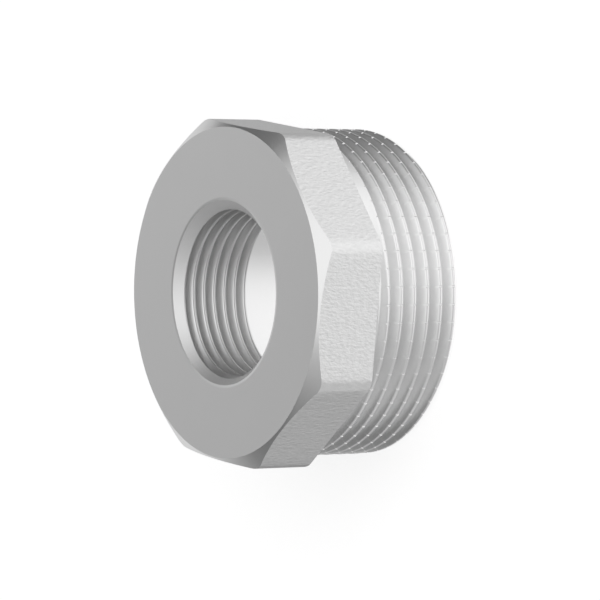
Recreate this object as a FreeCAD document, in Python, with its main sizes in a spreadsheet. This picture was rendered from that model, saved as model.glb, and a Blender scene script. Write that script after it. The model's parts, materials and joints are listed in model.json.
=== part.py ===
"""A turned pipe bushing with an eight-sided head, modelled as one solid.

The bushing screws into a fitting by its outer pipe thread and takes a smaller
pipe in its head. It stands on the end of its outer thread, so the origin is the
centre of that end, +Z is the axis and points out of the head, and one flat of
the head faces -Y. All sizes are in millimetres.
"""

import FreeCAD
import Part
import Sketcher
import math
import os

PARTS_FOLDER = "parts"
NODE_NAME = "bushing_body"
HEAD_SIDES = 8
TOLERANCE = 0.001

# The pipe thread's form: the angle between its sides, and its depth as a share of the
# pitch. The real one rounds crest and root; here the crest is flat and the root sharp.
THREAD_ANGLE = 55
THREAD_DEPTH = 0.6403
# How far a thread cutter stands clear of the crest, as a share of the pitch.
CUTTER_CLEARANCE = 0.08
# The outer thread's cutter leaves the metal three quarters of a turn past its start.
LAST_QUARTER = 0.75
# How far under its wall the inner thread's cutter starts, as a share of the pitch.
INNER_START = 0.66

# name, size and what it measures; degrees for an angle, millimetres for the rest
SIZES = (
    ("total_length", 25.0, "end of the outer thread to the face of the head"),
    ("head_height", 10.1, "height of the eight-sided head"),
    ("across_flats", 48.5, "flat to flat over the head"),
    ("corner_radius", 2.8, "rounding of the head's upright corners"),
    ("face_chamfer", 0.3, "width of the turned chamfer at the middle of a flat"),
    ("face_chamfer_angle", 35.5, "slope of that chamfer from the face"),
    ("outer_thread_diameter", 47.8, "crest of the 1 1/2 inch parallel pipe thread"),
    ("outer_thread_pitch", 2.309, "11 threads to the inch"),
    ("outer_thread_runout", 1.01, "end of the last groove to the back of the head"),
    ("end_chamfer", 1.0, "lead-in chamfer at the end of the outer thread"),
    ("inner_thread_diameter", 24.12, "crest of the 3/4 inch parallel pipe thread"),
    ("inner_thread_pitch", 1.814, "14 threads to the inch"),
    ("inner_thread_bottom", 12.9, "height of the lower end of the inner thread"),
    ("countersink", 1.38, "depth of the mouth's 45 degree countersink"),
    ("rim_width", 0.43, "shallow rim between the countersink and the face"),
    ("rim_depth", 0.12, "depth of that rim"),
    ("hollow_diameter", 37.0, "wide hollow behind the inner thread"),
    ("hollow_corner", 1.2, "bevel at the closed end of the hollow"),
    ("hollow_bevel", 0.8, "bevel of the hollow's open edge"),
)


def make_sizes(doc):
    """Write the driving sizes to a sheet, one row each, with an alias for every value."""
    sheet = doc.addObject("Spreadsheet::Sheet", "Sizes")
    for row, (name, value, note) in enumerate(SIZES, start=1):
        sheet.set(f"A{row}", name)
        sheet.set(f"B{row}", str(value))
        sheet.set(f"C{row}", note)
        sheet.setAlias(f"B{row}", name)
    doc.recompute()
    return sheet


def new_sketch(body, name, plane_role):
    """Add a sketch on one of the body's own origin planes."""
    sketch = body.newObject("Sketcher::SketchObject", name)
    plane = next(f for f in body.Origin.OriginFeatures if f.Role == plane_role)
    sketch.AttachmentSupport = [(plane, "")]
    sketch.MapMode = "FlatFace"
    return sketch


def drive(sketch, constraint_index, name, formula):
    """Name a dimension of a sketch and bind it to the sheet."""
    sketch.renameConstraint(constraint_index, name)
    sketch.setExpression(f"Constraints.{name}", formula)


def draw_outline(sketch, corners):
    """Draw a closed outline through named corners.

    Each corner is (name, across, up), both of them formulas of the sheet's sizes.
    The outline lies right of the axis. A formula of "0" puts the corner on an axis.
    """
    places = []
    for _, across, up in corners:
        x = sketch.evalExpression(across)
        y = sketch.evalExpression(up)
        places.append(FreeCAD.Vector(float(x), float(y), 0))
    for start, end in zip(places, places[1:] + places[:1]):
        sketch.addGeometry(Part.LineSegment(start, end), False)
    count = len(corners)
    for line in range(count):
        sketch.addConstraint(
            Sketcher.Constraint("Coincident", line, 2, (line + 1) % count, 1)
        )
    for line, (name, across, up) in enumerate(corners):
        for direction, axis, formula in (("X", -2, across), ("Y", -1, up)):
            if formula == "0":
                sketch.addConstraint(
                    Sketcher.Constraint("PointOnObject", line, 1, axis)
                )
                continue
            size = places[line].x if direction == "X" else places[line].y
            index = sketch.addConstraint(
                Sketcher.Constraint(f"Distance{direction}", -1, 1, line, 1, size)
            )
            drive(sketch, index, f"{name}_{direction.lower()}", formula)


def turn(body, kind, name, sketch):
    """Turn a sketch once round the Z axis, adding or removing material."""
    feature = body.newObject(kind, name)
    feature.Profile = sketch
    feature.ReferenceAxis = (sketch, ["V_Axis"])
    feature.Angle = 360
    feature.Refine = False
    return feature


def edges_where(feature, wanted):
    """Names of a feature's edges that pass a test."""
    return [
        f"Edge{number}"
        for number, edge in enumerate(feature.Shape.Edges, start=1)
        if wanted(edge)
    ]


def draw_octagon(sketch):
    """Draw the head's outline: a regular eight-sided figure with a flat towards -Y."""
    corner_distance = sketch.evalExpression("Sizes.across_flats / 2") / math.cos(
        math.pi / HEAD_SIDES
    )
    places = []
    for corner in range(HEAD_SIDES):
        turned = math.radians(270) + (corner - 0.5) * 2 * math.pi / HEAD_SIDES
        places.append(
            FreeCAD.Vector(
                corner_distance * math.cos(turned), corner_distance * math.sin(turned), 0
            )
        )
    for start, end in zip(places, places[1:] + places[:1]):
        sketch.addGeometry(Part.LineSegment(start, end), False)
    circle = sketch.addGeometry(
        Part.Circle(FreeCAD.Vector(0, 0, 0), FreeCAD.Vector(0, 0, 1), corner_distance),
        True,
    )
    sketch.addConstraint(Sketcher.Constraint("Coincident", circle, 3, -1, 1))
    for line in range(HEAD_SIDES):
        following = (line + 1) % HEAD_SIDES
        sketch.addConstraint(Sketcher.Constraint("Coincident", line, 2, following, 1))
        sketch.addConstraint(Sketcher.Constraint("PointOnObject", line, 1, circle))
        if following:
            sketch.addConstraint(Sketcher.Constraint("Equal", line, following))
    sketch.addConstraint(Sketcher.Constraint("Horizontal", 0))
    half = corner_distance * math.cos(math.pi / HEAD_SIDES)
    index = sketch.addConstraint(Sketcher.Constraint("Distance", -1, 1, 0, half))
    drive(sketch, index, "half_across_flats", "Sizes.across_flats / 2")


def draw_circle(sketch, diameter):
    """Draw a circle of a diameter given by a formula, as four quarter arcs.

    The quarters keep every face of a thread's crest short.
    """
    radius = float(sketch.evalExpression(diameter)) / 2
    circle = Part.Circle(FreeCAD.Vector(0, 0, 0), FreeCAD.Vector(0, 0, 1), radius)
    quarter = math.pi / 2
    for start in range(4):
        arc = Part.ArcOfCircle(circle, start * quarter, (start + 1) * quarter)
        sketch.addGeometry(arc, False)
    for arc in range(4):
        sketch.addConstraint(Sketcher.Constraint("Coincident", arc, 3, -1, 1))
        axis = -1 if arc % 2 == 0 else -2
        sketch.addConstraint(Sketcher.Constraint("PointOnObject", arc, 1, axis))
    for arc in range(3):
        sketch.addConstraint(Sketcher.Constraint("Coincident", arc, 2, arc + 1, 1))
    sketch.addConstraint(Sketcher.Constraint("PointOnObject", 3, 2, -1))
    index = sketch.addConstraint(Sketcher.Constraint("Diameter", 0, 2 * radius))
    drive(sketch, index, "diameter", diameter)


def make_blank(body):
    """The round blank of the outer thread, with its lead-in chamfer."""
    outline = new_sketch(body, "blank_outline", "XY_Plane")
    draw_circle(outline, "Sizes.outer_thread_diameter")
    blank = body.newObject("PartDesign::Pad", "thread_blank")
    blank.Profile = outline
    blank.setExpression("Length", "Sizes.total_length - Sizes.head_height / 2")
    blank.Refine = False
    body.Document.recompute()

    chamfer = body.newObject("PartDesign::Chamfer", "lead_in")
    chamfer.Base = (
        blank,
        edges_where(blank, lambda edge: edge.CenterOfMass.z < TOLERANCE),
    )
    chamfer.setExpression("Size", "Sizes.end_chamfer")
    chamfer.Refine = False
    return chamfer


def cut_thread(body, name, start, turns, inward):
    """Cut one right-hand thread, a helical groove round the Z axis.

    The sheet has the thread's crest diameter and pitch under its name. start is the
    formula of the height at which the groove's middle begins, over +X, and turns the
    formula of how often it goes round.
    """
    pitch = f"Sizes.{name}_pitch"
    crest = f"Sizes.{name}_diameter / 2"
    outside, inside = ("-", "+") if inward else ("+", "-")
    open_radius = f"{crest} {outside} {CUTTER_CLEARANCE} * {pitch}"
    root_radius = f"{crest} {inside} {THREAD_DEPTH} * {pitch}"
    slope = f"tan({THREAD_ANGLE / 2}deg)"
    open_half = f"({THREAD_DEPTH} + {CUTTER_CLEARANCE}) * {pitch} * {slope}"

    section = new_sketch(body, f"{name}_section", "XZ_Plane")
    draw_outline(
        section,
        (
            ("open_low", open_radius, f"{start} - {open_half}"),
            ("root", root_radius, start),
            ("open_high", open_radius, f"{start} + {open_half}"),
        ),
    )
    groove = body.newObject("PartDesign::SubtractiveHelix", name)
    groove.Profile = section
    groove.ReferenceAxis = (section, ["V_Axis"])
    groove.Mode = 1
    groove.setExpression("Pitch", pitch)
    groove.setExpression("Turns", turns)
    groove.Refine = False
    return groove


def make_head(body):
    """The eight-sided head, with rounded corners and the turned chamfer of its face."""
    outline = new_sketch(body, "head_outline", "XY_Plane")
    draw_octagon(outline)
    outline.setExpression(
        ".AttachmentOffset.Base.z", "Sizes.total_length - Sizes.head_height"
    )
    head = body.newObject("PartDesign::Pad", "head")
    head.Profile = outline
    head.setExpression("Length", "Sizes.head_height")
    head.Refine = False
    body.Document.recompute()

    corners = body.newObject("PartDesign::Fillet", "head_corners")
    corners.Base = (
        head,
        edges_where(
            head,
            lambda edge: isinstance(edge.Curve, Part.Line)
            and abs(edge.tangentAt(edge.FirstParameter).z) > 1 - TOLERANCE,
        ),
    )
    corners.setExpression("Radius", "Sizes.corner_radius")
    corners.Refine = False

    section = new_sketch(body, "face_chamfer_section", "XZ_Plane")
    face_edge = "(Sizes.across_flats / 2 - Sizes.face_chamfer)"
    over_corners = f"Sizes.across_flats / 2 / cos(180deg / {HEAD_SIDES})"
    depth = f"({over_corners} - {face_edge}) * tan(Sizes.face_chamfer_angle * 1deg)"
    draw_outline(
        section,
        (
            ("face_edge", face_edge, "Sizes.total_length"),
            ("outside_low", over_corners, f"Sizes.total_length - {depth}"),
            ("outside_high", over_corners, "Sizes.total_length"),
        ),
    )
    return turn(body, "PartDesign::Groove", "face_chamfer", section)


def make_bore(body):
    """The way through: wide hollow, wall of the inner thread and countersunk mouth."""
    crest = "Sizes.inner_thread_diameter / 2"
    hollow = "Sizes.hollow_diameter / 2"
    section = new_sketch(body, "hollow_section", "XZ_Plane")
    draw_outline(
        section,
        (
            ("bottom_centre", "0", "0"),
            ("bevel_edge", f"{hollow} + Sizes.hollow_bevel", "0"),
            ("hollow_edge", hollow, "Sizes.hollow_bevel"),
            ("corner_low", hollow, "Sizes.inner_thread_bottom - Sizes.hollow_corner"),
            ("corner_high", f"{hollow} - Sizes.hollow_corner", "Sizes.inner_thread_bottom"),
            ("closed_end_centre", "0", "Sizes.inner_thread_bottom"),
        ),
    )
    turn(body, "PartDesign::Groove", "hollow", section)

    outline = new_sketch(body, "bore_outline", "XY_Plane")
    draw_circle(outline, "Sizes.inner_thread_diameter")
    bore = body.newObject("PartDesign::Pocket", "bore")
    bore.Profile = outline
    bore.Type = "ThroughAll"
    bore.Reversed = True
    bore.Refine = False

    section = new_sketch(body, "countersink_section", "XZ_Plane")
    rim_foot = f"({crest} + Sizes.countersink - Sizes.rim_depth)"
    draw_outline(
        section,
        (
            ("cone_point", "0", f"Sizes.total_length - Sizes.countersink - {crest}"),
            ("rim_low", rim_foot, "Sizes.total_length - Sizes.rim_depth"),
            ("mouth_edge", f"{rim_foot} + Sizes.rim_width", "Sizes.total_length"),
            ("top_centre", "0", "Sizes.total_length"),
        ),
    )
    return turn(body, "PartDesign::Groove", "countersink", section)


def make_threads(body):
    """Cut both threads, each from outside the metal.

    The outer one ends under the head and the inner one runs out through the mouth.
    """
    pitch = "Sizes.outer_thread_pitch"
    end = "(Sizes.total_length - Sizes.head_height - Sizes.outer_thread_runout)"
    turns = f"(ceil({end} / {pitch}) + {LAST_QUARTER})"
    cut_thread(body, "outer_thread", f"({end} - {turns} * {pitch})", turns, inward=False)

    pitch = "Sizes.inner_thread_pitch"
    start = f"(Sizes.inner_thread_bottom - {INNER_START} * {pitch})"
    turns = f"(Sizes.total_length - {start}) / {pitch} + 1"
    return cut_thread(body, "inner_thread", start, turns, inward=True)


def make_bushing(doc):
    """Build the whole bushing in one body."""
    body = doc.addObject("PartDesign::Body", NODE_NAME)
    body.Label = NODE_NAME
    make_blank(body)
    make_head(body)
    make_bore(body)
    body.Tip = make_threads(body)
    doc.recompute()
    return body


def check(doc, body):
    """Stop with a message where any object failed or the solid isn't sound."""
    for item in doc.Objects:
        if "Invalid" in item.State or "Error" in item.State:
            raise RuntimeError(f"{item.Name} failed: {item.State}")
    shape = body.Shape
    if shape.isNull() or not shape.isValid() or len(shape.Solids) != 1:
        raise RuntimeError("the bushing isn't one sound solid")


def main():
    doc = FreeCAD.newDocument("bushing")
    make_sizes(doc)
    body = make_bushing(doc)
    check(doc, body)
    os.makedirs(PARTS_FOLDER, exist_ok=True)
    body.Shape.exportStep(os.path.join(PARTS_FOLDER, f"{body.Label}.step"))
    box = body.Shape.optimalBoundingBox()
    print(
        f"{body.Label}: volume {body.Shape.Volume:.0f} mm3, "
        f"{box.XLength:.2f} x {box.YLength:.2f} x {box.ZLength:.2f} mm"
    )


main()
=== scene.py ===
"""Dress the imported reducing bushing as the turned, threaded and plated fitting it is.

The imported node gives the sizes. One closed piece with both real threads, their
run-outs and the notches across the outer crests stands in its place, and it gets
one finish for each way the metal was worked. Lengths are millimetres until the
mesh is done, then metres. Heights are counted from the end of the outer thread.
"""

import json
import logging
import math
from collections.abc import Callable, Iterable, Mapping, Sequence
from dataclasses import dataclass
from enum import IntEnum

import bmesh
import bpy
from bmesh.types import BMEdge, BMesh, BMFace, BMVert
from mathutils import Matrix, Vector


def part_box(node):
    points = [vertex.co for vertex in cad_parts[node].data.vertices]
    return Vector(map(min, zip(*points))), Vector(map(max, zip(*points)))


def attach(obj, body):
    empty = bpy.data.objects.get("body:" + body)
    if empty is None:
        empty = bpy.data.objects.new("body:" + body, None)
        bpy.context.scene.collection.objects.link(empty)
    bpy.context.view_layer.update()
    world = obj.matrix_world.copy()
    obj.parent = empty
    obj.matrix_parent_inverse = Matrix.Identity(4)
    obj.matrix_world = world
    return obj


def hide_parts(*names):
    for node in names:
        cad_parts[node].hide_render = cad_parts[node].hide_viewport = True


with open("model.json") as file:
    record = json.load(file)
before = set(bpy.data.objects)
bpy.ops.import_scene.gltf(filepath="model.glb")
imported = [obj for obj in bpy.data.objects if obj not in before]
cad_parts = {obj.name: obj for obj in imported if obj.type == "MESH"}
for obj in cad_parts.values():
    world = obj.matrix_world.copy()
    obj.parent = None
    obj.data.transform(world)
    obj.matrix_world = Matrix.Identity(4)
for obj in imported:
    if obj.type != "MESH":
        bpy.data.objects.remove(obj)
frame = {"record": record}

LOG = logging.getLogger("bushing")
NODE = "bushing_body"
BODY = "root"
METRES = 0.001
# How near vertices are joined, and how near a rim or a cut they count as on it.
WELD = 0.01
FINE_WELD = 0.001
ON_RIM = 0.002
ON_CUT = 0.0005
AXIS = Vector((0.0, 0.0, 1.0))
WHITE = (1.0, 1.0, 1.0)


class Finish(IntEnum):
    """The finishes of the bushing, in the order of its material slots."""

    FACE = 0
    CHAMFER = 1
    FLATS = 2
    OUTER_THREAD = 3
    INNER_THREAD = 4
    HOLLOW = 5
    COUNTERSINK = 6


def radius_of(vert: BMVert) -> float:
    """Distance of a vertex from the bushing's axis."""
    return math.hypot(vert.co.x, vert.co.y)


def angle_of(vert: BMVert) -> float:
    """Angle of a vertex round the axis from +X, from -pi to pi."""
    return math.atan2(vert.co.y, vert.co.x)


def place(vert: BMVert, radius: float, height: float) -> None:
    """Move a vertex to a radius and a height at its own angle."""
    scale = radius / radius_of(vert)
    vert.co = (vert.co.x * scale, vert.co.y * scale, height)


def ease(share: float) -> float:
    """Go smoothly from 0 to 1 as the share does, and stay there outside."""
    share = min(max(share, 0.0), 1.0)
    return share * share * (3.0 - 2.0 * share)


@dataclass(frozen=True)
class PipeThread:
    """The rounded 55 degree form of one parallel pipe thread, right hand.

    crest_radius is the radius of the crests, pitch the rise of one turn, crest_height
    the height of one crest at angle zero, rounding the radius of the crests as a share
    of the pitch, and inward says that the metal is outside, as in a bore. DEPTH_SHARE is
    the depth of the groove as a share of the pitch.
    """

    crest_radius: float
    pitch: float
    crest_height: float
    rounding: float
    inward: bool

    HALF_ANGLE = math.radians(27.5)
    DEPTH_SHARE = 0.640327

    @property
    def depth(self) -> float:
        """Depth of the groove from crest to root."""
        return self.DEPTH_SHARE * self.pitch

    def arc(self, radius: float, steps: int) -> list[tuple[float, float]]:
        """Trace a rounding from its top until it meets the straight flank.

        Args:
            radius: Radius of the rounding.
            steps: Number of straight steps in it.

        Returns:
            Pairs of the distance along the axis and the depth below the top.
        """
        sweep = math.pi / 2 - self.HALF_ANGLE
        turned = [sweep * step / steps for step in range(steps + 1)]
        return [(radius * math.sin(turn), radius * (1 - math.cos(turn))) for turn in turned]

    def half_profile(self, arc_steps: int) -> list[tuple[float, float]]:
        """Trace the form from a crest's middle to the next root's middle.

        The sharp form is cut back at crest and root by what their roundings take off.

        Args:
            arc_steps: Number of straight steps in each rounding.

        Returns:
            Pairs of the distance along the axis and the depth below the crest.
        """
        taken_off = 1 / math.sin(self.HALF_ANGLE) - 1
        sharp_depth = 1 / (2 * math.tan(self.HALF_ANGLE))
        both_roundings = (sharp_depth - self.DEPTH_SHARE) / taken_off
        crest = self.arc(self.rounding * self.pitch, arc_steps)
        root = self.arc((both_roundings - self.rounding) * self.pitch, arc_steps)
        root = [(self.pitch / 2 - along, self.depth - deep) for along, deep in reversed(root)]
        return crest + root

    def profile(self, arc_steps: int) -> list[tuple[float, float]]:
        """Trace one whole pitch of the form, from one root's middle to the next.

        Args:
            arc_steps: Number of straight steps in each rounding.

        Returns:
            Pairs of the height over the crest and the depth below it. The last root
            is left to the pitch that follows.
        """
        half = self.half_profile(arc_steps)
        falling = [(-along, deep) for along, deep in reversed(half)]
        return falling + half[1:-1]

    def turns_up(self, angle: float, height: float) -> float:
        """Count the turns from the thread's named crest up to a point of the wall."""
        return (height - self.crest_height) / self.pitch - angle / math.tau

    def run_out(self, vert: BMVert, full_below: float, gone_above: float) -> None:
        """Raise a groove's floor where the groove runs out.

        Args:
            vert: Vertex of the thread.
            full_below: The groove has its depth while its middle is lower than this.
            gone_above: The groove is gone where its middle is higher than this.
        """
        angle = angle_of(vert)
        groove = math.floor(self.turns_up(angle, vert.co.z)) + 0.5 + angle / math.tau
        height = self.crest_height + groove * self.pitch
        kept = ease((gone_above - height) / (gone_above - full_below))
        deep = radius_of(vert) - self.crest_radius
        place(vert, self.crest_radius + deep * kept, vert.co.z)


@dataclass(frozen=True)
class Sector:
    """The share of a turn that a thread is copied from: how many, how fine, where from."""

    count: int
    columns: int
    start: float = 0.0

    @property
    def angle(self) -> float:
        """Angle of one sector."""
        return math.tau / self.count


class Shell:
    """A mesh in the making, with its own tools for round work."""

    def __init__(self) -> None:
        """Start with an empty mesh."""
        self.mesh: BMesh = bmesh.new()

    def everything(self) -> list[BMVert | BMEdge | BMFace]:
        """List all of the mesh's geometry."""
        return self.mesh.verts[:] + self.mesh.edges[:] + self.mesh.faces[:]

    def paint(self, finish: Finish) -> None:
        """Give every face one finish."""
        for face in self.mesh.faces:
            face.material_index = finish

    def spin_sector(
        self, thread: PipeThread, span: tuple[float, float], sector: Sector, arc_steps: int
    ) -> None:
        """Spin the thread's form through one sector, in rows that climb with the helix.

        Args:
            thread: The thread to make.
            span: Lowest and highest point that the wall must reach.
            sector: The share of a turn to make.
            arc_steps: Number of straight steps in each rounding of the form.
        """
        low, high = span
        sign = 1.0 if thread.inward else -1.0
        first = math.floor(thread.turns_up(0.0, low)) - 1
        last = math.ceil(thread.turns_up(0.0, high)) + 1
        verts = []
        for turn in range(first, last):
            for along, deep in thread.profile(arc_steps):
                radius = thread.crest_radius + sign * deep
                height = thread.crest_height + turn * thread.pitch + along
                verts.append(self.mesh.verts.new((radius, 0.0, height)))
        edges = [self.mesh.edges.new(pair) for pair in zip(verts, verts[1:])]
        self.climb(thread, sector.start, verts)
        self.spin(verts + edges, sector.angle, sector.columns, thread.pitch, copies=False)

    def repeat_sector(self, thread: PipeThread, sector: Sector) -> None:
        """Copy the sector all round, each copy a little higher than the last.

        Args:
            thread: The thread that the sector belongs to.
            sector: The share of a turn that the mesh holds so far.
        """
        others = sector.count - 1
        self.spin(self.everything(), sector.angle * others, others, thread.pitch, copies=True)
        self.weld()

    def spin(
        self, geometry: Sequence[object], angle: float, steps: int, pitch: float, copies: bool
    ) -> None:
        """Spin or copy geometry round the axis while it climbs with a thread.

        Args:
            geometry: What is spun.
            angle: Whole angle of the spin.
            steps: Number of steps in it.
            pitch: Rise of a whole turn.
            copies: Set copies of the geometry round the axis and join nothing.
        """
        bmesh.ops.spin(
            self.mesh,
            geom=geometry,
            cent=(0.0, 0.0, 0.0),
            axis=AXIS,
            dvec=AXIS * (pitch * angle / math.tau / steps),
            angle=angle,
            steps=steps,
            use_merge=False,
            use_duplicate=copies,
        )

    def climb(self, thread: PipeThread, angle: float, verts: Sequence[BMVert]) -> None:
        """Screw vertices along a thread.

        Args:
            thread: The thread that they follow.
            angle: How far they turn.
            verts: The vertices.
        """
        turn = Matrix.Rotation(angle, 3, "Z")
        bmesh.ops.rotate(self.mesh, cent=(0.0, 0.0, 0.0), matrix=turn, verts=verts)
        rise = AXIS * (thread.pitch * angle / math.tau)
        bmesh.ops.translate(self.mesh, vec=rise, verts=verts)

    def weld(self, distance: float = WELD) -> None:
        """Join the vertices that lie closer together than a distance."""
        bmesh.ops.remove_doubles(self.mesh, verts=self.mesh.verts[:], dist=distance)

    def move(self, change: Callable[[BMVert], None]) -> None:
        """Run a change over every vertex."""
        for vert in self.mesh.verts:
            change(vert)

    def slice(self, height: float, clear_below: bool = False, clear_above: bool = False) -> None:
        """Cut the mesh at a height, and clear what lies on one side.

        Args:
            height: Height of the cut.
            clear_below: Delete what lies under it.
            clear_above: Delete what lies over it.
        """
        cut = bmesh.ops.bisect_plane(
            self.mesh,
            geom=self.everything(),
            dist=ON_CUT,
            plane_co=AXIS * height,
            plane_no=AXIS,
            use_snap_center=False,
            clear_inner=clear_below,
            clear_outer=clear_above,
        )
        self.sharpen(item for item in cut["geom_cut"] if isinstance(item, BMEdge))

    def sharpen(self, edges: Iterable[BMEdge]) -> None:
        """Mark edges that light breaks at."""
        for edge in edges:
            edge.smooth = False

    def cut_cone(self, offset: float, beyond: Callable[[float, float], bool], finish: Finish) -> None:
        """Press what lies beyond a 45 degree cone onto the cone, with a clean edge.

        The cone is where height less radius equals the offset. It is flat while every
        height is lowered by its radius, so a level slice cuts it.

        Args:
            offset: Height less radius on the cone.
            beyond: Test of a height less radius, and the offset, for what is cut off.
            finish: Finish of the faces that end up on the cone.
        """
        for vert in self.mesh.verts:
            vert.co.z -= radius_of(vert)
        self.slice(offset)
        for vert in self.mesh.verts:
            vert.co.z += radius_of(vert)
        for face in self.mesh.faces:
            middle = face.calc_center_median()
            if beyond(middle.z - math.hypot(middle.x, middle.y), offset):
                face.material_index = finish
        for vert in self.mesh.verts:
            if beyond(vert.co.z - radius_of(vert), offset):
                place(vert, vert.co.z - offset, vert.co.z)

    def rim(self, height: float) -> list[BMEdge]:
        """List the open edges at a height."""
        open_edges = [edge for edge in self.mesh.edges if edge.is_boundary]
        return [e for e in open_edges if all(abs(v.co.z - height) < ON_RIM for v in e.verts)]

    def extend(
        self,
        rim: Sequence[BMEdge],
        stations: Iterable[tuple[float, float]],
        finish: Finish,
        sharp: bool = False,
    ) -> None:
        """Grow an open rim through rings of other radii and heights.

        Args:
            rim: Open edges to grow from.
            stations: Radius and height of each new ring.
            finish: Finish of the new faces.
            sharp: Mark every ring as an edge that light breaks at.
        """
        edges = list(rim)
        for radius, height in stations:
            if sharp:
                self.sharpen(edges)
            grown = bmesh.ops.extrude_edge_only(self.mesh, edges=edges)["geom"]
            for item in grown:
                if isinstance(item, BMVert):
                    place(item, radius, height)
                elif isinstance(item, BMFace):
                    item.material_index = finish
            edges = [item for item in grown if isinstance(item, BMEdge) and item.is_boundary]
        if sharp:
            self.sharpen(edges)

    def fill_level(self, height: float, finish: Finish) -> None:
        """Fill the flat ring between the two open rims at a height.

        Args:
            height: Height of both rims.
            finish: Finish of the new faces.
        """
        rims = self.rim(height)
        self.sharpen(rims)
        filled = bmesh.ops.triangle_fill(
            self.mesh, use_beauty=True, use_dissolve=False, edges=rims, normal=AXIS
        )
        for item in filled["geom"]:
            if isinstance(item, BMFace):
                item.material_index = finish

    def absorb(self, other: "Shell") -> None:
        """Take in another shell's mesh and free it.

        Args:
            other: The shell that isn't needed any more.
        """
        carrier = bpy.data.meshes.new("carrier")
        other.mesh.to_mesh(carrier)
        other.mesh.free()
        self.mesh.from_mesh(carrier)
        bpy.data.meshes.remove(carrier)

    def as_object(self, name: str) -> bpy.types.Object:
        """Put the mesh in the scene as an object and free it.

        Args:
            name: Name of the object and of its mesh.

        Returns:
            The object, at the origin.
        """
        data = bpy.data.meshes.new(name)
        self.mesh.to_mesh(data)
        self.mesh.free()
        made = bpy.data.objects.new(name, data)
        bpy.context.scene.collection.objects.link(made)
        return made


@dataclass(frozen=True)
class Head:
    """The forged octagonal head with its turned face.

    The chamfer starts at face_radius and falls by chamfer_slope for each millimetre
    outwards, so it cuts the corners lower than the middles of the flats.
    """

    across_flats: float
    top: float
    bottom: float
    corner_radius: float = 2.8
    face_radius: float = 23.95
    chamfer_slope: float = math.tan(math.radians(35.5))
    sides: int = 8
    flat_steps: int = 12
    corner_steps: int = 8

    @property
    def middle(self) -> float:
        """Height of the head's middle."""
        return (self.top + self.bottom) / 2

    def build(self) -> Shell:
        """Make the wall of flats and corners and the chamfer up to the face.

        Returns:
            The shell, open at the back and at the face's edge.
        """
        shell = Shell()
        self.raise_wall(shell.mesh)
        self.round_corners(shell.mesh)
        shell.paint(Finish.FLATS)
        shell.move(self.lower_to_chamfer)
        upper = [e for e in shell.mesh.edges if e.is_boundary and e.verts[0].co.z > self.middle]
        shell.extend(upper, [(self.face_radius, self.top)], Finish.CHAMFER, sharp=True)
        return shell

    def raise_wall(self, mesh: BMesh) -> None:
        """Extrude an octagon to the head's height and leave it open at both ends.

        Args:
            mesh: The empty mesh to work in.
        """
        half_side = math.pi / self.sides
        seat = Matrix.Translation(AXIS * self.bottom)
        base = bmesh.ops.create_circle(
            mesh,
            cap_ends=True,
            cap_tris=False,
            segments=self.sides,
            radius=self.across_flats / 2 / math.cos(half_side),
            matrix=seat @ Matrix.Rotation(half_side, 4, "Z"),
        )
        wall_edges = {edge for vert in base["verts"] for edge in vert.link_edges}
        raised = bmesh.ops.extrude_face_region(mesh, geom=mesh.faces[:] + list(wall_edges))
        lifted = [item for item in raised["geom"] if isinstance(item, BMVert)]
        bmesh.ops.translate(mesh, vec=AXIS * (self.top - self.bottom), verts=lifted)
        caps = [face for face in mesh.faces if len(face.verts) == self.sides]
        bmesh.ops.delete(mesh, geom=caps, context="FACES_ONLY")

    def round_corners(self, mesh: BMesh) -> None:
        """Round the upright edges, then part each flat into columns.

        Args:
            mesh: The open octagonal wall.
        """
        tall = (self.top - self.bottom) / 2
        upright = [e for e in mesh.edges if abs(e.verts[0].co.z - e.verts[1].co.z) > tall]
        bmesh.ops.bevel(
            mesh,
            geom=upright,
            offset=self.corner_radius * math.tan(math.pi / self.sides),
            offset_type="OFFSET",
            affect="EDGES",
            segments=self.corner_steps,
            profile=0.5,
            material=-1,
        )
        rims = [edge for edge in mesh.edges if edge.is_boundary]
        flats = [edge for edge in rims if edge.calc_length() > self.corner_radius * 2]
        bmesh.ops.subdivide_edges(mesh, edges=flats, cuts=self.flat_steps - 1, use_grid_fill=True)

    def lower_to_chamfer(self, vert: BMVert) -> None:
        """Lower a vertex of the wall's upper rim to where the turned chamfer cuts it."""
        if vert.co.z > self.middle:
            vert.co.z = self.top - (radius_of(vert) - self.face_radius) * self.chamfer_slope


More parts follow.
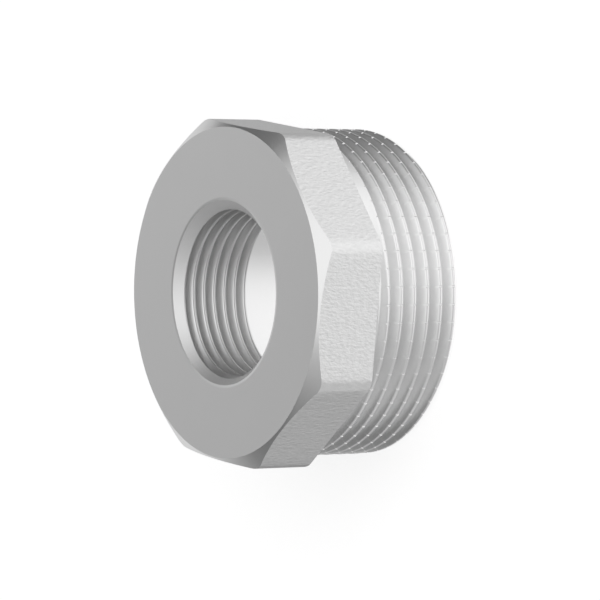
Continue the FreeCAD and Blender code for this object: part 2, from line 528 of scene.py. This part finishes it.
@dataclass(frozen=True)
class Notches:
    """The rows of small notches rolled across the outer thread's crests.

    A notch has a flat floor and two sloping walls. floor_half and mouth_half are half
    its width at the floor and at the crest, and collar_half is where the plain stretch
    up to the next notch starts.
    """

    count: int = 58
    first_angle: float = math.radians(0.62)
    depth: float = 0.16
    floor_half: float = 0.07
    mouth_half: float = 0.15
    collar_half: float = 0.2
    columns_each: int = 8

    def sector(self) -> Sector:
        """Give the sector of a turn that holds one notch in its middle."""
        half = math.pi / self.count
        return Sector(self.count, self.columns_each, self.first_angle - half)

    def offset(self, angle: float) -> float:
        """Tell how far an angle lies from its nearest notch, as a share of their spacing."""
        share = (angle - self.first_angle) * self.count / math.tau
        return share - round(share)

    def gather(self, share: float, spacing: float) -> float:
        """Move an evenly spaced column to the edges of its notch.

        Args:
            share: Where the column is, from -0.5 to 0.5 of the spacing.
            spacing: Distance from notch to notch along the crest.

        Returns:
            Where the column belongs, as such a share.
        """
        edges = (0.0, self.floor_half, self.mouth_half, self.collar_half)
        even = [number / self.columns_each for number in range(self.columns_each // 2 + 1)]
        wanted = [edge / spacing for edge in edges] + [0.5]
        size = abs(share)
        for low, high, start, end in zip(even, even[1:], wanted, wanted[1:]):
            if size <= high:
                moved = start + (end - start) * (size - low) / (high - low)
                return math.copysign(moved, share)
        return share

    def depth_at(self, distance: float) -> float:
        """Give the notch's depth at a distance from its middle along the crest."""
        wall = (self.mouth_half - abs(distance)) / (self.mouth_half - self.floor_half)
        return self.depth * min(max(wall, 0.0), 1.0)


@dataclass(frozen=True)
class OuterThread:
    """The outer thread with its notches, its lead-in and its run-out under the head.

    The last groove keeps its depth until its middle lies full_until under the head, and
    is gone where its middle lies gone_at under it.
    """

    thread: PipeThread
    top: float
    lead_in: float = 1.0
    end_ring_radius: float = 21.0
    full_until: float = 1.4
    gone_at: float = 0.7
    arc_steps: int = 5
    notches: Notches = Notches()

    def build(self) -> Shell:
        """Make the threaded wall from the neck down to the ring of the end face.

        Returns:
            The shell, open at the head's back and at the inner edge of the end ring.
        """
        shell = Shell()
        sector = self.notches.sector()
        shell.spin_sector(self.thread, (0.0, self.top), sector, self.arc_steps)
        shell.move(self.gather_column)
        shell.move(self.notch)
        shell.repeat_sector(self.thread, sector)
        shell.move(self.fade)
        shell.paint(Finish.OUTER_THREAD)
        shell.slice(0.0, clear_below=True)
        shell.slice(self.top, clear_above=True)
        shell.extend(shell.rim(0.0), [(self.end_ring_radius, 0.0)], Finish.HOLLOW, sharp=True)
        shell.cut_cone(
            self.lead_in - self.thread.crest_radius,
            lambda lowered, cone: lowered < cone - ON_CUT,
            Finish.OUTER_THREAD,
        )
        return shell

    def gather_column(self, vert: BMVert) -> None:
        """Slide a vertex along its row to the edge of a notch.

        Args:
            vert: Vertex of the thread's first sector.
        """
        angle = angle_of(vert)
        spacing = math.tau / self.notches.count
        share = self.notches.offset(angle)
        moved = self.notches.gather(share, spacing * self.thread.crest_radius)
        slide = (moved - share) * spacing
        vert.co = Matrix.Rotation(slide, 3, "Z") @ vert.co
        vert.co.z += slide / math.tau * self.thread.pitch

    def notch(self, vert: BMVert) -> None:
        """Press a crest down where a notch crosses it.

        Args:
            vert: Vertex of the thread's first sector.
        """
        angle = angle_of(vert)
        distance = self.notches.offset(angle) * math.tau / self.notches.count
        deep = self.notches.depth_at(distance * self.thread.crest_radius)
        floor = self.thread.crest_radius - deep
        if radius_of(vert) > floor:
            place(vert, floor, vert.co.z)

    def fade(self, vert: BMVert) -> None:
        """Let the groove run out to nothing under the head."""
        self.thread.run_out(vert, self.top - self.full_until, self.top - self.gone_at)


@dataclass(frozen=True)
class Bore:
    """The way through: countersunk mouth, inner thread and wide hollow.

    The countersink runs from the mouth's narrow lip to the crests, which it meets at
    the height countersink_foot. The groove keeps its depth while its middle is lower
    than full_below and is gone above gone_above, so the countersink stays whole.
    """

    thread: PipeThread
    top: float
    bottom: float
    mouth_radius: float = 13.75
    lip_depth: float = 0.05
    countersink_foot: float = 23.62
    full_below: float = 23.3
    gone_above: float = 24.15
    hollow_radius: float = 18.5
    hollow_rounding: float = 2.0
    hollow_bevel: float = 0.8
    rounding_steps: int = 6
    arc_steps: int = 5
    sector: Sector = Sector(16, 10)

    def build(self) -> Shell:
        """Make the wall from the face's mouth to the hollow's open edge.

        Returns:
            The shell, open at the mouth and at the hollow's edge on the end face.
        """
        shell = Shell()
        cone_top = self.top - self.lip_depth
        shell.spin_sector(self.thread, (self.bottom, self.top), self.sector, self.arc_steps)
        shell.repeat_sector(self.thread, self.sector)
        shell.move(self.fade)
        shell.paint(Finish.INNER_THREAD)
        shell.slice(self.bottom, clear_below=True)
        shell.slice(cone_top, clear_above=True)
        shell.cut_cone(
            self.countersink_foot - self.thread.crest_radius,
            lambda lowered, cone: lowered > cone + ON_CUT,
            Finish.COUNTERSINK,
        )
        shell.extend(
            shell.rim(cone_top), [(self.mouth_radius, self.top)], Finish.FACE, sharp=True
        )
        shell.extend(shell.rim(self.bottom), self.hollow_outline(), Finish.HOLLOW)
        return shell

    def hollow_outline(self) -> list[tuple[float, float]]:
        """Trace the hollow from its closed end to its bevelled edge.

        Returns:
            Pairs of radius and height.
        """
        inner = self.hollow_radius - self.hollow_rounding
        outline = [(inner, self.bottom)]
        for step in range(1, self.rounding_steps + 1):
            turned = math.pi / 2 * step / self.rounding_steps
            radius = inner + self.hollow_rounding * math.sin(turned)
            height = self.bottom - self.hollow_rounding * (1 - math.cos(turned))
            outline.append((radius, height))
        outline.append((self.hollow_radius, self.hollow_bevel))
        outline.append((self.hollow_radius + self.hollow_bevel, 0.0))
        return outline

    def fade(self, vert: BMVert) -> None:
        """Let the groove run out to nothing before it breaks the countersink."""
        self.thread.run_out(vert, self.full_below, self.gone_above)


class Channel:
    """A value or a colour on its way through a material's nodes."""

    def __init__(self, nodes: "Nodes", socket: bpy.types.NodeSocket) -> None:
        """Keep the node tree's writer and the socket that gives the value."""
        self.nodes = nodes
        self.socket = socket

    def _math(self, operation: str, *values: "Channel | float") -> "Channel":
        """Add one Math node.

        Args:
            operation: What the node does.
            values: Its values, in order.

        Returns:
            The result.
        """
        sockets = dict(enumerate(values))
        node = self.nodes.add("ShaderNodeMath", {"operation": operation}, sockets)
        return self.nodes.channel(node)

    def __add__(self, other: "Channel | float") -> "Channel":
        """Add a value."""
        return self._math("ADD", self, other)

    def __radd__(self, other: float) -> "Channel":
        """Be added to a number."""
        return self._math("ADD", other, self)

    def __sub__(self, other: "Channel | float") -> "Channel":
        """Take a value away."""
        return self._math("SUBTRACT", self, other)

    def __rsub__(self, other: float) -> "Channel":
        """Be taken from a number."""
        return self._math("SUBTRACT", other, self)

    def __mul__(self, other: "Channel | float") -> "Channel":
        """Multiply by a value."""
        return self._math("MULTIPLY", self, other)

    def __rmul__(self, other: float) -> "Channel":
        """Multiply a number."""
        return self._math("MULTIPLY", other, self)


class Nodes:
    """One node tree, written as expressions on channels."""

    def __init__(self, tree: bpy.types.NodeTree) -> None:
        """Take a tree and empty it."""
        self.tree = tree
        self.tree.nodes.clear()

    def add(
        self,
        kind: str,
        settings: Mapping[str, object] | None = None,
        sockets: Mapping[int | str, object] | None = None,
    ) -> bpy.types.Node:
        """Add a node, set its options, then fill or link its sockets.

        Args:
            kind: Type name of the node.
            settings: Options of the node, set first.
            sockets: Values or channels by socket name or number.

        Returns:
            The node.
        """
        node = self.tree.nodes.new(kind)
        for name, value in (settings or {}).items():
            setattr(node, name, value)
        for key, value in (sockets or {}).items():
            if isinstance(value, Channel):
                self.tree.links.new(value.socket, node.inputs[key])
            else:
                node.inputs[key].default_value = value
        return node

    def channel(self, node: bpy.types.Node, output: int | str = 0) -> Channel:
        """Take one output of a node as a channel."""
        return Channel(self, node.outputs[output])

    def ray(self, kind: str) -> Channel:
        """Give 1 for rays of one kind and 0 for all others."""
        return self.channel(self.add("ShaderNodeLightPath"), kind)

    def vector_math(self, operation: str, sockets: Mapping[int | str, object]) -> bpy.types.Node:
        """Add one Vector Math node."""
        return self.add("ShaderNodeVectorMath", {"operation": operation}, sockets)

    def soft_step(self, value: Channel, low: float, high: float) -> Channel:
        """Go smoothly from 0 to 1 while a value rises.

        Args:
            value: The value.
            low: Where the step starts.
            high: Where it ends.

        Returns:
            The step, from 0 to 1.
        """
        options = {"interpolation_type": "SMOOTHSTEP"}
        sockets = {"Value": value, "From Min": low, "From Max": high}
        return self.channel(self.add("ShaderNodeMapRange", options, sockets))


class Shader(Nodes):
    """One material, written as expressions on channels."""

    def __init__(self, name: str) -> None:
        """Start an empty material.

        Args:
            name: Name of the material.
        """
        self.material = bpy.data.materials.new(name)
        self.material.use_nodes = True
        super().__init__(self.material.node_tree)

    def own_place(self) -> Channel:
        """Give the piece's own coordinates in metres."""
        return self.channel(self.add("ShaderNodeTexCoord"), "Object")

    def noise(self, vector: Channel, cells: float, detail: float) -> Channel:
        """Give a soft noise from 0 to 1.

        Args:
            vector: Where the noise is read.
            cells: Number of its cells to a metre.
            detail: How many finer noises lie over it.

        Returns:
            The noise.
        """
        options = {"noise_dimensions": "3D"}
        sockets = {"Vector": vector, "Scale": cells, "Detail": detail, "Roughness": 0.55}
        return self.channel(self.add("ShaderNodeTexNoise", options, sockets), "Fac")

    def end(self, surface: bpy.types.Node) -> bpy.types.Material:
        """Lead the last node to the material's surface and give the material."""
        self.add("ShaderNodeOutputMaterial", None, {"Surface": self.channel(surface)})
        return self.material

    def end_in_metal(
        self,
        tint: tuple[float, float, float],
        shade: Channel,
        roughness: Channel | float,
        normal: Channel | None = None,
    ) -> bpy.types.Material:
        """End the material in bare metal.

        Args:
            tint: Colour of the metal.
            shade: What the tint is multiplied by.
            roughness: Roughness of its surface.
            normal: Its relief, where it has one.

        Returns:
            The finished material.
        """
        colour = self.channel(self.vector_math("SCALE", {0: tint, "Scale": shade}))
        sockets = {"Base Color": colour, "Metallic": 1.0, "Roughness": roughness}
        if normal is not None:
            sockets["Normal"] = normal
        return self.end(self.add("ShaderNodeBsdfPrincipled", None, sockets))


@dataclass(frozen=True)
class Plating:
    """The pale plating on all of the bushing, and what its finishes share.

    level is how light the plating is painted there, with painted light and shade in it for some
    finishes, and roughness how dull.
    """

    name: str
    level: float
    roughness: float
    tint: tuple[float, float, float] = WHITE

    def material(self) -> bpy.types.Material:
        """Make the material of this finish."""
        raise NotImplementedError


@dataclass(frozen=True)
class TurnedPlating(Plating):
    """The fine turned finish of the face, the chamfers, the countersink and the hollow."""

    mark_cells: float = 6000.0
    cloud_cells: float = 90.0
    darkest: float = 0.97
    shade_spread: float = 0.03
    roughness_spread: float = 0.08

    def material(self) -> bpy.types.Material:
        """Make the material, with marks that run round the axis.

        Returns:
            The material.
        """
        shader = Shader(self.name)
        place_at = shader.own_place()
        split = shader.add("ShaderNodeSeparateXYZ", None, {"Vector": place_at})
        x, y, z = (shader.channel(split, axis) for axis in range(3))
        level_place = shader.add("ShaderNodeCombineXYZ", None, {"X": x, "Y": y})
        length = shader.vector_math("LENGTH", {0: shader.channel(level_place)})
        across = shader.channel(length, "Value")
        rings = shader.channel(shader.add("ShaderNodeCombineXYZ", None, {"X": across, "Y": z}))
        marks = shader.noise(rings, self.mark_cells, detail=3.0)
        cloud = shader.noise(place_at, self.cloud_cells, detail=2.0)
        spread = self.shade_spread
        shade = self.level * (self.darkest + spread * marks + spread * cloud)
        roughness = self.roughness + self.roughness_spread * (marks - 0.5)
        return shader.end_in_metal(self.tint, shade, roughness)


@dataclass(frozen=True)
class BlastedPlating(Plating):
    """The finely blasted finish of the forged flats. Its relief is in metres."""

    grain_cells: float = 2600.0
    swell_cells: float = 900.0
    drawn_out: tuple[float, float, float] = (1.0, 1.0, 0.5)
    darkest: float = 0.87
    shade_spread: float = 0.26
    grain_share: float = 0.7
    swell_share: float = 0.3
    relief: float = 0.00011

    def material(self) -> bpy.types.Material:
        """Make the material, with a grain that is drawn out along the axis.

        Returns:
            The material.
        """
        shader = Shader(self.name)
        along = shader.vector_math("MULTIPLY", {0: shader.own_place(), 1: self.drawn_out})
        place_at = shader.channel(along)
        grain = shader.noise(place_at, self.grain_cells, detail=4.0)
        swell = shader.noise(place_at, self.swell_cells, detail=2.0)
        shade = self.level * (self.darkest + self.shade_spread * grain)
        height = self.grain_share * grain + self.swell_share * swell
        sockets = {"Strength": 1.0, "Distance": self.relief, "Height": height}
        bump = shader.add("ShaderNodeBump", None, sockets)
        normal = shader.channel(bump, "Normal")
        return shader.end_in_metal(self.tint, shade, self.roughness, normal)


@dataclass(frozen=True)
class ThreadPlating(Plating):
    """The smooth bright finish of a rolled or cut thread, its level painted lighter on the outer
    thread and darker, as shade, in the bore.
    """

    cloud_cells: float = 260.0
    darkest: float = 0.96
    shade_spread: float = 0.06
    roughness_spread: float = 0.06

    def material(self) -> bpy.types.Material:
        """Make the material, with a faint cloud over it.

        Returns:
            The material.
        """
        shader = Shader(self.name)
        cloud = shader.noise(shader.own_place(), self.cloud_cells, detail=3.0)
        shade = self.level * (self.darkest + self.shade_spread * cloud)
        roughness = self.roughness + self.roughness_spread * (cloud - 0.5)
        return shader.end_in_metal(self.tint, shade, roughness)


# One plating covers the whole bushing; its levels differ from finish to finish as painted light and
# shade.
PLATINGS: Mapping[Finish, Plating] = {
    Finish.FACE: TurnedPlating("turned_face", level=0.77, roughness=0.42),
    Finish.CHAMFER: TurnedPlating("turned_chamfer", level=0.77, roughness=0.3),
    Finish.FLATS: BlastedPlating("blasted_flats", level=0.77, roughness=0.42),
    # Painted light: the outer thread is set lighter than the face and flats.
    Finish.OUTER_THREAD: ThreadPlating("outer_thread", level=0.84, roughness=0.37),
    # Painted shade: the thread in the bore is set darker, for the shade in its grooves.
    Finish.INNER_THREAD: ThreadPlating("inner_thread", level=0.7, roughness=0.34),
    # Painted light: the hollow is set lighter than the face.
    Finish.HOLLOW: TurnedPlating("hollow", level=0.84, roughness=0.35),
    Finish.COUNTERSINK: TurnedPlating("countersink", level=0.77, roughness=0.52),
}


@dataclass(frozen=True)
class Bushing:
    """The whole bushing, with the two threads that the record's mounts name.

    crease is the angle past which an edge breaks the light.
    """

    height: float
    across_flats: float
    head_bottom: float
    outer_radius: float
    inner_bottom: float
    inner_radius: float
    crease: float = math.radians(32)

    @classmethod
    def from_frame(cls) -> "Bushing":
        """Read the sizes that the frame gives.

        Returns:
            The bushing, in millimetres.
        """
        lowest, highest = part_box(NODE)
        mounts = {mount["name"]: mount for mount in frame["record"]["mounts"]}
        outer = mounts["outer_thread"]
        inner = mounts["inner_thread"]
        outer_middle = outer["pos_m"][2] / METRES
        inner_middle = inner["pos_m"][2] / METRES
        return cls(
            height=(highest.z - lowest.z) / METRES,
            across_flats=(highest.x - lowest.x) / METRES,
            head_bottom=outer_middle + outer["dims"]["length_mm"] / 2,
            outer_radius=outer["dims"]["r_mm"],
            inner_bottom=round(inner_middle - inner["dims"]["length_mm"] / 2, 3),
            inner_radius=inner["dims"]["r_mm"],
        )

    def outer_thread(self) -> PipeThread:
        """Give the thread on the shank, 11 turns to the inch.

        Returns:
            The thread.
        """
        return PipeThread(
            crest_radius=self.outer_radius,
            pitch=2.309,
            crest_height=15.62,
            rounding=0.155,
            inward=False,
        )

    def inner_thread(self) -> PipeThread:
        """Give the thread in the head, 14 turns to the inch.

        Returns:
            The thread.
        """
        return PipeThread(
            crest_radius=self.inner_radius,
            pitch=1.814,
            crest_height=25.31,
            rounding=0.16,
            inward=True,
        )

    def build(self) -> bpy.types.Object:
        """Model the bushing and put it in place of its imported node.

        Returns:
            The new piece.
        """
        whole = Head(self.across_flats, self.height, self.head_bottom).build()
        LOG.info("head: %d faces", len(whole.mesh.faces))
        shank = OuterThread(self.outer_thread(), self.head_bottom).build()
        LOG.info("outer thread: %d faces", len(shank.mesh.faces))
        bore = Bore(self.inner_thread(), self.height, self.inner_bottom).build()
        LOG.info("bore: %d faces", len(bore.mesh.faces))
        whole.absorb(shank)
        whole.absorb(bore)
        whole.fill_level(self.height, Finish.FACE)
        whole.fill_level(self.head_bottom, Finish.CHAMFER)
        whole.fill_level(0.0, Finish.HOLLOW)
        self.close(whole)
        return self.dress(whole)

    def close(self, shell: Shell) -> None:
        """Join the parts of the shell, turn its faces outwards and mark its creases.

        Args:
            shell: The whole bushing's mesh.
        """
        mesh = shell.mesh
        shell.weld(FINE_WELD)
        bmesh.ops.recalc_face_normals(mesh, faces=mesh.faces[:])
        open_edges = sum(1 for edge in mesh.edges if not edge.is_manifold)
        LOG.info("whole: %d faces, %d open edges", len(mesh.faces), open_edges)
        for face in mesh.faces:
            face.smooth = True
        closed = (edge for edge in mesh.edges if edge.is_manifold)
        shell.sharpen(edge for edge in closed if edge.calc_face_angle() > self.crease)

    def dress(self, shell: Shell) -> bpy.types.Object:
        """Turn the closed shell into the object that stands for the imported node.

        Args:
            shell: The whole bushing's closed mesh in millimetres.

        Returns:
            The object, with its finishes.
        """
        mesh = shell.mesh
        bmesh.ops.scale(mesh, vec=(METRES, METRES, METRES), verts=mesh.verts[:])
        piece = shell.as_object("bushing")
        for finish in Finish:
            piece.data.materials.append(PLATINGS[finish].material())
        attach(piece, BODY)
        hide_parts(NODE)
        return piece


@dataclass(frozen=True)
class Glow:
    """One soft round patch of the room, full inside one angle and gone at another.

    All angles are degrees: azimuth is counted round the axis from +X, and the strength
    is what the patch adds to the room's level, or takes from it.
    """

    azimuth: float
    elevation: float
    full_within: float
    gone_at: float
    strength: float

    @property
    def side(self) -> Vector:
        """Direction of the patch's middle.

        Returns:
            A vector one unit long.
        """
        around = math.radians(self.azimuth)
        above = math.radians(self.elevation)
        level = math.cos(above)
        return Vector((level * math.cos(around), level * math.sin(around), math.sin(above)))


class Sky(Nodes):
    """The soft room round the bushing, an even grey with bright and dark patches.

    A screen is a pale board and a card a dark one.
    """

    LEVEL = 0.56
    WINDOW = Glow(azimuth=-32, elevation=55, full_within=39, gone_at=48, strength=0.58)
    TABLE_LIGHT = Glow(azimuth=-49, elevation=-51, full_within=29, gone_at=56, strength=0.62)
    BACK_SCREEN = Glow(azimuth=98, elevation=9, full_within=26, gone_at=34, strength=0.29)
    SIDE_CARD = Glow(azimuth=29, elevation=17, full_within=37, gone_at=45, strength=-0.43)
    HIGH_CARD = Glow(azimuth=137, elevation=48, full_within=24, gone_at=38, strength=-0.42)
    LOW_SCREEN = Glow(azimuth=-160, elevation=-25, full_within=8, gone_at=22, strength=0.27)
    LOW_CARD = Glow(azimuth=147, elevation=-34, full_within=12, gone_at=30, strength=-0.3)
    GLOWS = (WINDOW, TABLE_LIGHT, BACK_SCREEN, SIDE_CARD, HIGH_CARD, LOW_SCREEN, LOW_CARD)

    def __init__(self) -> None:
        """Hang a new world with its own nodes in the scene."""
        world = bpy.data.worlds.new("studio")
        bpy.context.scene.world = world
        world.use_nodes = True
        super().__init__(world.node_tree)

    def patch(self, glow: Glow) -> Channel:
        """Give one patch's share of the room's brightness.

        Args:
            glow: The patch.

        Returns:
            The share, positive for a bright patch and negative for a dark one.
        """
        direction = self.channel(self.add("ShaderNodeTexCoord"), "Generated")
        towards = self.vector_math("DOT_PRODUCT", {0: direction, 1: glow.side})
        edge = math.cos(math.radians(glow.gone_at))
        core = math.cos(math.radians(glow.full_within))
        return glow.strength * self.soft_step(self.channel(towards, "Value"), edge, core)

    def build(self) -> None:
        """Paint the room, white for the camera and graded for all that it lights."""
        graded: Channel | float = self.LEVEL
        for glow in self.GLOWS:
            graded = graded + self.patch(glow)
        seen = self.ray("Is Camera Ray")
        sockets = {"Color": (*WHITE, 1.0), "Strength": seen + (1.0 - seen) * graded}
        background = self.add("ShaderNodeBackground", None, sockets)
        self.add("ShaderNodeOutputWorld", None, {"Surface": self.channel(background)})


@dataclass(frozen=True)
class Ground:
    """The white ground that the bushing stands on, in metres.

    It is a mid grey that the camera sees brightened to white, so it keeps the shadow.
    The metal doesn't mirror it.
    """

    half_width: float = 4.0
    level: float = 0.5
    glow: float = 0.7

    def build(self) -> None:
        """Lay the ground."""
        shell = Shell()
        bmesh.ops.create_grid(shell.mesh, x_segments=1, y_segments=1, size=self.half_width)
        ground = shell.as_object("ground")
        ground.visible_glossy = False
        ground.data.materials.append(self.material())

    def material(self) -> bpy.types.Material:
        """Make the ground's material.

        Returns:
            The material.
        """
        shader = Shader("ground")
        strength = self.glow * shader.ray("Is Camera Ray")
        glow = shader.add("ShaderNodeEmission", None, {"Strength": strength})
        colour = (self.level, self.level, self.level, 1.0)
        lit = shader.add("ShaderNodeBsdfDiffuse", None, {"Color": colour})
        both = {0: shader.channel(lit), 1: shader.channel(glow)}
        return shader.end(shader.add("ShaderNodeAddShader", None, both))


@dataclass(frozen=True)
class Lamp:
    """One square soft lamp that looks at the bushing, in metres and watts."""

    name: str
    hangs_at: tuple[float, float, float]
    size: float
    power: float

    def build(self) -> None:
        """Hang the lamp."""
        data = bpy.data.lights.new(self.name, "AREA")
        data.shape = "SQUARE"
        data.size = self.size
        data.energy = self.power
        lamp = bpy.data.objects.new(self.name, data)
        lamp.location = self.hangs_at
        lamp.rotation_euler = (-lamp.location).to_track_quat("-Z", "Y").to_euler()
        bpy.context.scene.collection.objects.link(lamp)


@dataclass(frozen=True)
class Camera:
    """The camera of the photograph's view, turned so that the axis lies level.

    Its places are metres and its lens and sensor are millimetres.
    """

    stands_at: tuple[float, float, float] = (0.0765, -0.5079, 0.3672)
    looks_at: tuple[float, float, float] = (-0.0002, -0.0065, 0.01595)
    up_side: tuple[float, float, float] = (0.9893, 0.1455, -0.0085)
    lens: float = 256.5
    sensor: float = 36.0

    def build(self) -> None:
        """Set the camera up and make it the scene's own."""
        stand = Vector(self.stands_at)
        back = (stand - Vector(self.looks_at)).normalized()
        right = Vector(self.up_side).cross(back).normalized()
        up = back.cross(right)
        data = bpy.data.cameras.new("camera")
        data.lens = self.lens
        data.sensor_width = self.sensor
        camera = bpy.data.objects.new("camera", data)
        turned = Matrix((right, up, back)).transposed().to_4x4()
        camera.matrix_world = Matrix.Translation(stand) @ turned
        bpy.context.scene.collection.objects.link(camera)
        bpy.context.scene.camera = camera


class Studio:
    """The white ground, the room, one soft lamp and the camera."""

    def build(self) -> None:
        """Set the stage, the light and the camera."""
        bpy.context.scene.view_settings.view_transform = "Standard"
        Ground().build()
        Sky().build()
        Lamp("key", hangs_at=(0.30, -0.45, 0.30), size=0.5, power=0.2).build()
        Camera().build()


def main() -> None:
    """Build the bushing and its studio."""
    logging.basicConfig(level=logging.INFO, format="%(name)s: %(message)s")
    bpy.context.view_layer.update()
    piece = Bushing.from_frame().build()
    LOG.info("%s stands for %s", piece.name, NODE)
    Studio().build()


if __name__ == "__main__":
    main()
